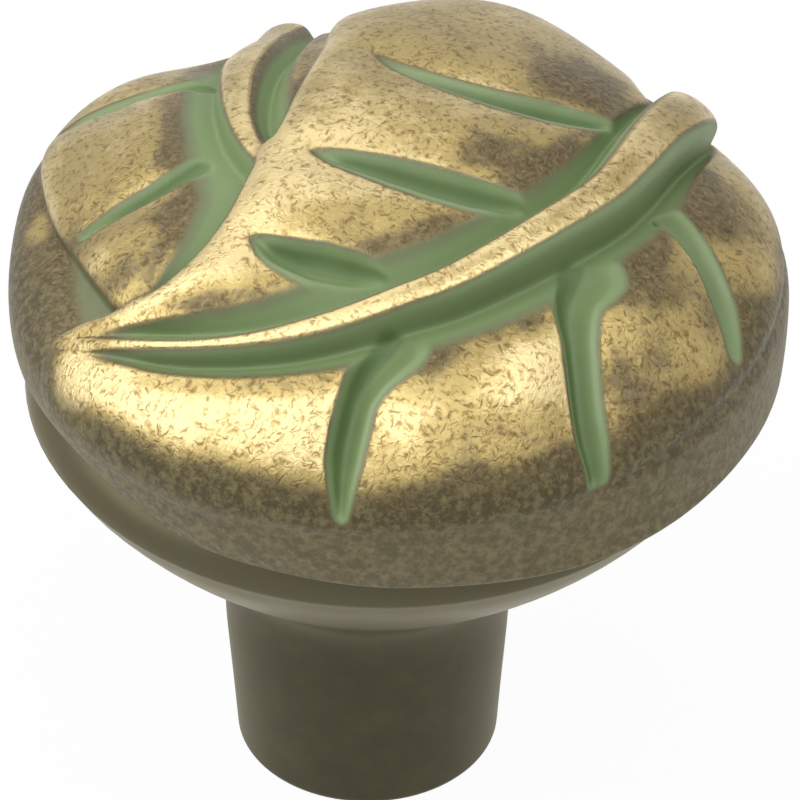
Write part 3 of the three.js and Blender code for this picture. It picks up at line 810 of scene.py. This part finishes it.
# The belt at the dome's edge: stain, and painted shade where the brass turns down from the light
belt = blend(tree, remap(tree, grit, *BELT_DARK_TO_FLECKS), BELT_STAIN_AND_SHADE, BELT_FLECKS)
metal = blend(tree, remap(tree, belt_way, *BELT_STARTS, 0.0, BELT_COVER), metal, belt)
side = remap(tree, way_down, *SIDE_STARTS)
side_stain = blend(tree, remap(tree, grit, *STAIN_TO_SIDE_FLECKS), SIDE_STAIN, SIDE_FLECKS)
metal = blend(tree, calculate(tree, "MULTIPLY", side, SIDE_COVER), metal, side_stain)

edge_line = remap(tree, paint, 0.0, BARE_TO_PAINTED[0])
edge_strength = remap(tree, held, *EDGE_LINE_FADES, *EDGE_LINE_STRENGTH)
edge_line = calculate(tree, "MULTIPLY", edge_line, edge_strength)
metal = blend(tree, edge_line, metal, EDGE_STAIN)
waves = noise(tree, place, *PAINT_EDGE_WAVES)
paint_edge = calculate(tree, "MULTIPLY_ADD", waves, PAINT_EDGE_WAVE, paint)
painted = remap(tree, paint_edge, *BARE_TO_PAINTED)
unpainted = calculate(tree, "SUBTRACT", 1.0, painted)
# Past full paint the green darkens: painted shade on one wall of each vein
green = blend(tree, remap(tree, paint_edge, *THIN_TO_FULL), THIN_PAINT, GREEN_PAINT)
green = blend(tree, remap(tree, paint_edge, *FULL_TO_SHADED_GREEN), green, DEEP_AND_SHADED_GREEN)
color = blend(tree, painted, metal, green)

metallic = remap(tree, tone, *METALLIC_BY_TONE, *BRASS_METALLIC)
metallic = calculate(tree, "MULTIPLY", metallic, unpainted)
roughness = remap(tree, tone, *ROUGHNESS_BY_TONE, *BRASS_ROUGHNESS)
roughness = calculate(tree, "MULTIPLY_ADD", painted, PAINT_ROUGHER, roughness)
roughness = calculate(tree, "MULTIPLY_ADD", side, SIDE_ROUGHER, roughness)
lacquer = remap(tree, tone, *LACQUER_BY_TONE, *BRASS_LACQUER)
grain = calculate(tree, "MULTIPLY", bright_strokes, BRIGHT_STROKE_RELIEF)
grain = calculate(tree, "SUBTRACT", grain, dark_strokes)
grain = calculate(tree, "MULTIPLY_ADD", mottle, MOTTLE_RELIEF, grain)
grain = calculate(tree, "MULTIPLY", grain, unpainted)
finish_material(tree, color, metallic, roughness, grain, BRASS_RELIEF, lacquer, PLAIN_TINT)

stem_finish, tree = start_material("dark_antique_brass")
place = add_node(tree, "ShaderNodeTexCoord").outputs["Object"]
mottle = noise(tree, place, *STEM_PATCHES)
grain = noise(tree, place, *STEM_GRAIN)
height = add_node(tree, "ShaderNodeSeparateXYZ", {0: place}).outputs["Z"]
color = blend(tree, remap(tree, height, *STEM_TO_BOWL), STEM_TONE, BOWL_TONE)
color = blend(tree, remap(tree, mottle, *STEM_BROWNS, 0.0, STEM_BROWN), color, BROWN_STAIN)
roughness = remap(tree, height, *STEM_TO_BOWL, *STEM_ROUGHNESS)
roughness = calculate(tree, "MULTIPLY_ADD", mottle, STEM_ROUGHER, roughness)
finish_material(tree, color, STEM_METALLIC, roughness, grain, STEM_RELIEF, STEM_LACQUER, GRAZING_TINT)


# The head's surface
# The smooth head is a low dome, a quarter ellipse in section, over a short side that leans in to the
# rim. The relief is laid on it, and its mesh is finest where the form turns most.
HEAD_RADIUS = 17.4
HEAD_WIDEST_Z = 25.6
DOME_RISE = 8.8
RIM_Z = 22.55
# How far the side leans in at the rim: degrees round the head, and millimetres
RIM_INSETS = [
    (0, 0.2),
    (60, 0.3),
    (150, 0.35),
    (185, 0.5),
    (212, 1.45),
    (245, 0.6),
    (272, 0.3),
    (303, -0.2),
    (335, 0.1),
    (360, 0.2),
]
RIM_ROUNDING = 0.3  # of the head's lower edge
ARC_STEPS = 2000
SURFACE_TOLERANCE = 0.004
# Where the finish is darker than elsewhere, with stain, and where a negative amount makes it lighter,
# partly as painted highlight: x, y, reach and amount
STAINS_AND_HIGHLIGHTS = [
    (8.2, 7.2, 2.8, 0.4),
    (8.8, 5.3, 2.2, 0.6),
    (3.9, -1.2, 1.7, 0.75),
    (7.2, -0.6, 1.8, 0.6),
    (10.6, -7.2, 2.2, 0.75),
    (-2.3, -6.2, 1.5, 0.45),
    (15.2, -0.2, 2.4, 0.7),
    (14.2, -2.6, 1.3, 0.4),
    (16.6, -6.8, 2.4, 0.7),
    (12.4, -13.2, 2.8, 0.55),
    (8.0, -18.0, 2.5, 0.45),
    (2.9, -17.4, 2.2, 0.45),
    (-7.8, -17.6, 2.6, 0.35),
    (-10.9, -2.6, 1.3, 0.6),
    (-12.6, -5.2, 1.5, 0.6),
    (-12.6, 1.8, 3.0, 0.25),
    (-17.2, -4.2, 3.2, 1.2),
    (12.6, 4.6, 1.8, 0.3),
    (-9.0, -8.9, 1.6, 0.5),
    (2.0, 10.0, 5.0, 0.2),
    (5.9, -12.6, 2.2, -0.4),
    (-4.7, -15.6, 2.0, -0.4),
    (-14.6, -12.0, 2.2, -0.3),
    (0.8, -15.8, 1.8, -0.3),
    (2.0, -14.2, 1.4, 0.45),
    (9.6, -12.2, 1.5, 0.25),
    (6.6, 3.6, 1.6, 0.35),
    (8.6, -17.2, 1.8, 0.3),
    (-7.0, -5.6, 1.6, -0.5),
    (-9.0, -14.5, 4.0, -0.35),
    (-4.4, -2.0, 2.8, -0.55),
    (-10.3, -7.9, 2.2, -0.5),
    (-14.3, -4.0, 1.4, -0.8),
    (-13.9, -9.9, 1.2, 0.5),
    (-15.8, -10.4, 1.4, -1.2),
    (-19.0, 1.5, 2.0, -0.6),
]
CREST_BLUR = 60  # rounds of smoothing. What stands above the smoothed height is a crest
PAINT_WEIGHT = 0.06  # how much the paint's edges count where the mesh is made finer

middles = (np.arange(ARC_STEPS) + 0.5) / ARC_STEPS * math.pi / 2
speeds = np.hypot(HEAD_RADIUS * np.cos(middles), DOME_RISE * np.sin(middles))
dome_arc = np.concatenate([[0], np.cumsum(speeds) * math.pi / 2 / ARC_STEPS])
DOME_LENGTH = dome_arc[-1]
SIDE_LENGTH = HEAD_WIDEST_Z - RIM_Z
PATTERN_RADIUS = DOME_LENGTH + SIDE_LENGTH


def rim_inset(azimuth):
    degrees = np.degrees(azimuth) % 360
    inset = np.zeros(degrees.shape)
    for (start, first), (end, second) in zip(RIM_INSETS[:-1], RIM_INSETS[1:]):
        here = (degrees >= start) & (degrees <= end)
        inset[here] = mix(first, second, smoothstep(start, end, degrees[here]))
    return inset


# The relief is worked out and softened on an even raster of the flat pattern, then looked up
raster_steps = np.linspace(-PATTERN_RADIUS, PATTERN_RADIUS, GRID_CELLS + 1)
raster_x, raster_y = np.meshgrid(raster_steps, raster_steps)
raster_height, raster_paint, raster_held = relief(raster_x.ravel(), raster_y.ravel())
raster_height = blurred(raster_height, RELIEF_BLUR)
raster_paint = blurred(raster_paint, RELIEF_BLUR)
raster_crest = raster_height - blurred(raster_height, CREST_BLUR)


def looked_up(raster, x, y):
    """The raster's values at places between its own."""
    raster = raster.reshape(GRID_CELLS + 1, GRID_CELLS + 1)
    column = (x / PATTERN_RADIUS + 1) / 2 * GRID_CELLS
    row = (y / PATTERN_RADIUS + 1) / 2 * GRID_CELLS
    left = np.clip(column.astype(int), 0, GRID_CELLS - 1)
    below = np.clip(row.astype(int), 0, GRID_CELLS - 1)
    lower = mix(raster[below, left], raster[below, left + 1], column - left)
    upper = mix(raster[below + 1, left], raster[below + 1, left + 1], column - left)
    return mix(lower, upper, row - below)


def head_surface(x, y):
    """Points of the finished head over places of the flat pattern."""
    distance = np.hypot(x, y)
    azimuth = np.arctan2(y, x)
    angle = np.interp(distance, dome_arc, np.linspace(0, math.pi / 2, ARC_STEPS + 1))
    down = np.clip((distance - DOME_LENGTH) / SIDE_LENGTH, 0, 1)
    above_rim = np.clip(SIDE_LENGTH * (1 - down) / RIM_ROUNDING, 0, 1)
    rounded = RIM_ROUNDING * (1 - np.sqrt(1 - (1 - above_rim) ** 2))
    radius = HEAD_RADIUS * np.sin(angle) - rim_inset(azimuth) * down**2 - rounded
    dome_z = HEAD_WIDEST_Z + DOME_RISE * np.cos(angle)
    z = np.where(down > 0, mix(HEAD_WIDEST_Z, RIM_Z, down), dome_z)
    out = np.sin(angle) / HEAD_RADIUS
    up = np.where(down > 0, 0, np.cos(angle) / DOME_RISE)
    size = np.hypot(out, up)
    height = looked_up(raster_height, x, y)
    radius = radius + height * out / size
    return np.stack([radius * np.cos(azimuth), radius * np.sin(azimuth), z + height * up / size], 1)


def square_to_disc(u, v):
    """Places of a square, from -1 to 1, moved onto the round pattern."""
    wide = np.abs(u) > np.abs(v)
    radius = np.where(wide, u, v)
    across = np.where(wide, v, u) / np.where(radius == 0, 1, radius)
    angle = np.where(wide, across * math.pi / 4, math.pi / 2 - across * math.pi / 4)
    return PATTERN_RADIUS * radius * np.cos(angle), PATTERN_RADIUS * radius * np.sin(angle)


def halves(triangles):
    """Each right triangle, cut in two at the middle of its long side."""
    start, end, corner = triangles.T
    middle = (start + end) // 2
    return np.concatenate([np.stack([corner, start, middle], 1), np.stack([end, corner, middle], 1)])


steps = np.linspace(-1, 1, GRID_CELLS + 1)
across, upward = np.meshgrid(steps, steps)
pattern_x, pattern_y = square_to_disc(across.ravel(), upward.ravel())
points = head_surface(pattern_x, pattern_y)
paints = looked_up(raster_paint, pattern_x, pattern_y)
helds = looked_up(raster_held, pattern_x, pattern_y)
crests = looked_up(raster_crest, pattern_x, pattern_y)
# The stains, and the lighter places where the amount is negative, partly painted highlight
stains_and_highlights = np.zeros(len(points))
for place_x, place_y, reach, amount in STAINS_AND_HIGHLIGHTS:
    gap = np.hypot(pattern_x - place_x, pattern_y - place_y)
    stains_and_highlights += amount * np.exp(-((gap / reach) ** 2))

# Right triangles halve from two big ones until none strays from the form, in shape or in paint
row = GRID_CELLS + 1
last = row * row - 1
levels = [np.array([[0, last, GRID_CELLS], [last, 0, last - GRID_CELLS]])]
while len(levels) < 2 * GRID_LEVELS:
    levels.append(halves(levels[-1]))
measured = np.column_stack([points, paints * PAINT_WEIGHT])
strays = np.zeros(len(points))
for i in range(len(levels) - 1, -1, -1):
    start, end, _ = levels[i].T
    middle = (start + end) // 2
    stray = np.linalg.norm((measured[start] + measured[end]) / 2 - measured[middle], axis=1)
    if i < len(levels) - 1:
        below = halves(levels[i])
        stray_below = strays[(below[:, 0] + below[:, 1]) // 2].reshape(2, -1).max(axis=0)
        stray = np.maximum(stray, stray_below)
    np.maximum.at(strays, middle, stray)
kept = []
current = levels[0]
for i in range(len(levels)):
    coarse = strays[(current[:, 0] + current[:, 1]) // 2] <= SURFACE_TOLERANCE
    kept.append(current[coarse])
    current = halves(current[~coarse])
kept.append(current)
head_triangles = np.concatenate(kept)[:, [0, 2, 1]]

used, compact = np.unique(head_triangles, return_inverse=True)
head_triangles = compact.reshape(-1, 3)

# The flat underside closes the head. The bowl covers all of it but a narrow lip.
columns = used % row
rows = used // row
border = np.stack([columns == 0, columns == GRID_CELLS, rows == 0, rows == GRID_CELLS])
edge_starts = head_triangles.ravel()
edge_ends = np.roll(head_triangles, -1, axis=1).ravel()
on_rim = (border[:, edge_starts] & border[:, edge_ends]).any(axis=0)
centre = len(used)
underside = np.stack([edge_ends[on_rim], edge_starts[on_rim], np.full(on_rim.sum(), centre)], 1)
head_points = np.vstack([points[used], [0, 0, RIM_Z]])
head_faces = np.concatenate([head_triangles, underside])
pattern_places = np.stack([pattern_x, pattern_y, np.zeros(len(points))], 1)
head_fields = {
    "paint": np.append(paints[used], 0),
    "held": np.append(helds[used], 0),
    "stain_and_highlight": np.append(stains_and_highlights[used], 0),
    "crest": np.append(crests[used], 0),
    "way_down": np.append(np.hypot(pattern_x, pattern_y)[used], PATTERN_RADIUS),
    "pattern": np.vstack([pattern_places[used], [0, 0, 0]]),
}


def make_object(name, points_mm, faces, fields):
    mesh = bpy.data.meshes.new(name)
    mesh.from_pydata((np.asarray(points_mm) * MM).tolist(), [], faces.tolist())
    for field_name, values in fields.items():
        values = np.asarray(values, np.float32)
        kind, part = ("FLOAT", "value") if values.ndim == 1 else ("FLOAT_VECTOR", "vector")
        mesh.attributes.new(field_name, kind, "POINT").data.foreach_set(part, values.ravel())
    made = bpy.data.objects.new(name, mesh)
    scene.collection.objects.link(made)
    return made


head = make_object("head", head_points, head_faces, head_fields)
for finish in (leaf_finish, stem_finish):
    head.data.materials.append(finish)
finish_index = np.repeat([0, 1], [len(head_triangles), len(underside)]).astype(np.int32)
head.data.polygons.foreach_set("material_index", finish_index)


# The bowl, the stem and the threaded hole
# They are part of the same casting. The bowl's axis lies a little off the stem's, and the blind hole in
# the foot has a drilled point and a number 8 thread, 32 turns to the inch.
BOWL_RADIUS = 16.15
BOWL_TOP_Z = 23.1
BOWL_EDGE = 2.3
BOWL_OFFSET = -0.65
STEM_OFFSET = -1.45
STEM_JOIN_Z = 11.2
STEM_JOIN_RADIUS = 7.1
STEM_RADIUS = 6.0
STEM_TAPER = 0.42
# Profiles: shares of the way out and of the way up
STEM_PROFILE = [(0.4, 0.25), (1.0, 0.55), (1.5, 0.82)]
BOWL_PROFILE = [(0.14, 0.15), (0.35, 0.33), (0.56, 0.5), (0.74, 0.67), (0.9, 0.85)]
SHIFT_FROM_Z = 6.7
FOOT_EDGE = 0.4
HOLE_RADIUS = 1.73
HOLE_DEPTH = 13.0
HOLE_POINT = 1.0
HOLE_CHAMFER = 0.45
THREAD_PITCH = 25.4 / 32
THREAD_DEPTH = 0.36
THREAD_LENGTH = 11.5
ROWS_PER_TURN = 8
TURN_STEPS = 96
ROUNDING_STEPS = 8

bowl_depth = BOWL_TOP_Z - BOWL_EDGE - STEM_JOIN_Z
outline = [(STEM_RADIUS, FOOT_EDGE)]
outline += [(STEM_RADIUS + STEM_TAPER * taper, STEM_JOIN_Z * up) for taper, up in STEM_PROFILE]
outline.append((STEM_JOIN_RADIUS, STEM_JOIN_Z))
for out, up in BOWL_PROFILE:
    outline.append((mix(STEM_JOIN_RADIUS, BOWL_RADIUS, out), STEM_JOIN_Z + bowl_depth * up))
outline.append((BOWL_RADIUS, STEM_JOIN_Z + bowl_depth))

profile = [(0.0, HOLE_DEPTH + HOLE_POINT)]
wall_rows = math.ceil((HOLE_DEPTH - HOLE_CHAMFER) / THREAD_PITCH * ROWS_PER_TURN)
profile += [(HOLE_RADIUS, z) for z in np.linspace(HOLE_DEPTH, HOLE_CHAMFER, wall_rows)]
profile.append((HOLE_RADIUS + HOLE_CHAMFER, 0.0))
quarter = np.linspace(0, math.pi / 2, ROUNDING_STEPS, endpoint=False)
for angle in quarter:
    profile.append((STEM_RADIUS - FOOT_EDGE * (1 - math.sin(angle)), FOOT_EDGE * (1 - math.cos(angle))))
profile += [tuple(point) for point in draw_line(outline)]
for angle in quarter[1:]:
    edge_radius = BOWL_RADIUS - BOWL_EDGE * (1 - math.cos(angle))
    profile.append((edge_radius, BOWL_TOP_Z - BOWL_EDGE * (1 - math.sin(angle))))
profile.append((BOWL_RADIUS - BOWL_EDGE, BOWL_TOP_Z))
profile.append((0.0, BOWL_TOP_Z))

radii, levels_z = np.array(profile[1:-1]).T
turns = np.linspace(0, math.tau, TURN_STEPS, endpoint=False)
in_hole = np.arange(len(radii)) < wall_rows
phase = (levels_z[:, None] / THREAD_PITCH - turns[None, :] / math.tau) % 1
groove = np.clip(1.5 - 4 * np.abs(phase - 0.5), 0, 1) * (in_hole & (levels_z < THREAD_LENGTH))[:, None]
ring_radii = radii[:, None] + THREAD_DEPTH * groove
shift = mix(STEM_OFFSET, BOWL_OFFSET, smoothstep(SHIFT_FROM_Z, BOWL_TOP_Z - BOWL_EDGE, levels_z))
shift = np.where(in_hole, STEM_OFFSET, shift)[:, None]
ring_x = shift + ring_radii * np.cos(turns)
ring_y = ring_radii * np.sin(turns)
ring_z = np.broadcast_to(levels_z[:, None], ring_x.shape)
body_points = np.stack([ring_x, ring_y, ring_z], 2).reshape(-1, 3)
tip = len(body_points)
body_points = np.vstack([body_points, [STEM_OFFSET, 0, profile[0][1]], [BOWL_OFFSET, 0, BOWL_TOP_Z]])

body_faces = []
ring_count = len(radii)
for ring in range(ring_count - 1):
    for step in range(TURN_STEPS):
        near = ring * TURN_STEPS + step
        far = ring * TURN_STEPS + (step + 1) % TURN_STEPS
        body_faces.append((near, far, far + TURN_STEPS))
        body_faces.append((near, far + TURN_STEPS, near + TURN_STEPS))
for step in range(TURN_STEPS):
    body_faces.append(((step + 1) % TURN_STEPS, step, tip))
    top_ring = (ring_count - 1) * TURN_STEPS
    body_faces.append((top_ring + step, top_ring + (step + 1) % TURN_STEPS, tip + 1))
body_fields = {
    "paint": np.zeros(len(body_points)),
    "held": np.zeros(len(body_points)),
    "stain_and_highlight": np.zeros(len(body_points)),
    "crest": np.zeros(len(body_points)),
    "way_down": np.full(len(body_points), PATTERN_RADIUS + 1),
    "pattern": np.zeros((len(body_points), 3)),
}
body = make_object("body", body_points, np.array(body_faces), body_fields)
body.data.materials.append(stem_finish)

join = head.modifiers.new("join", "BOOLEAN")
join.operation = "UNION"
join.solver = "MANIFOLD"
join.material_mode = "TRANSFER"
join.object = body
evaluated = head.evaluated_get(bpy.context.evaluated_depsgraph_get())
casting_mesh = bpy.data.meshes.new_from_object(evaluated)
casting_mesh.name = "casting"
casting = bpy.data.objects.new("casting", casting_mesh)
scene.collection.objects.link(casting)
bpy.data.objects.remove(head)
bpy.data.objects.remove(body)
casting_mesh.shade_smooth()


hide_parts("knob")
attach(casting, "root")
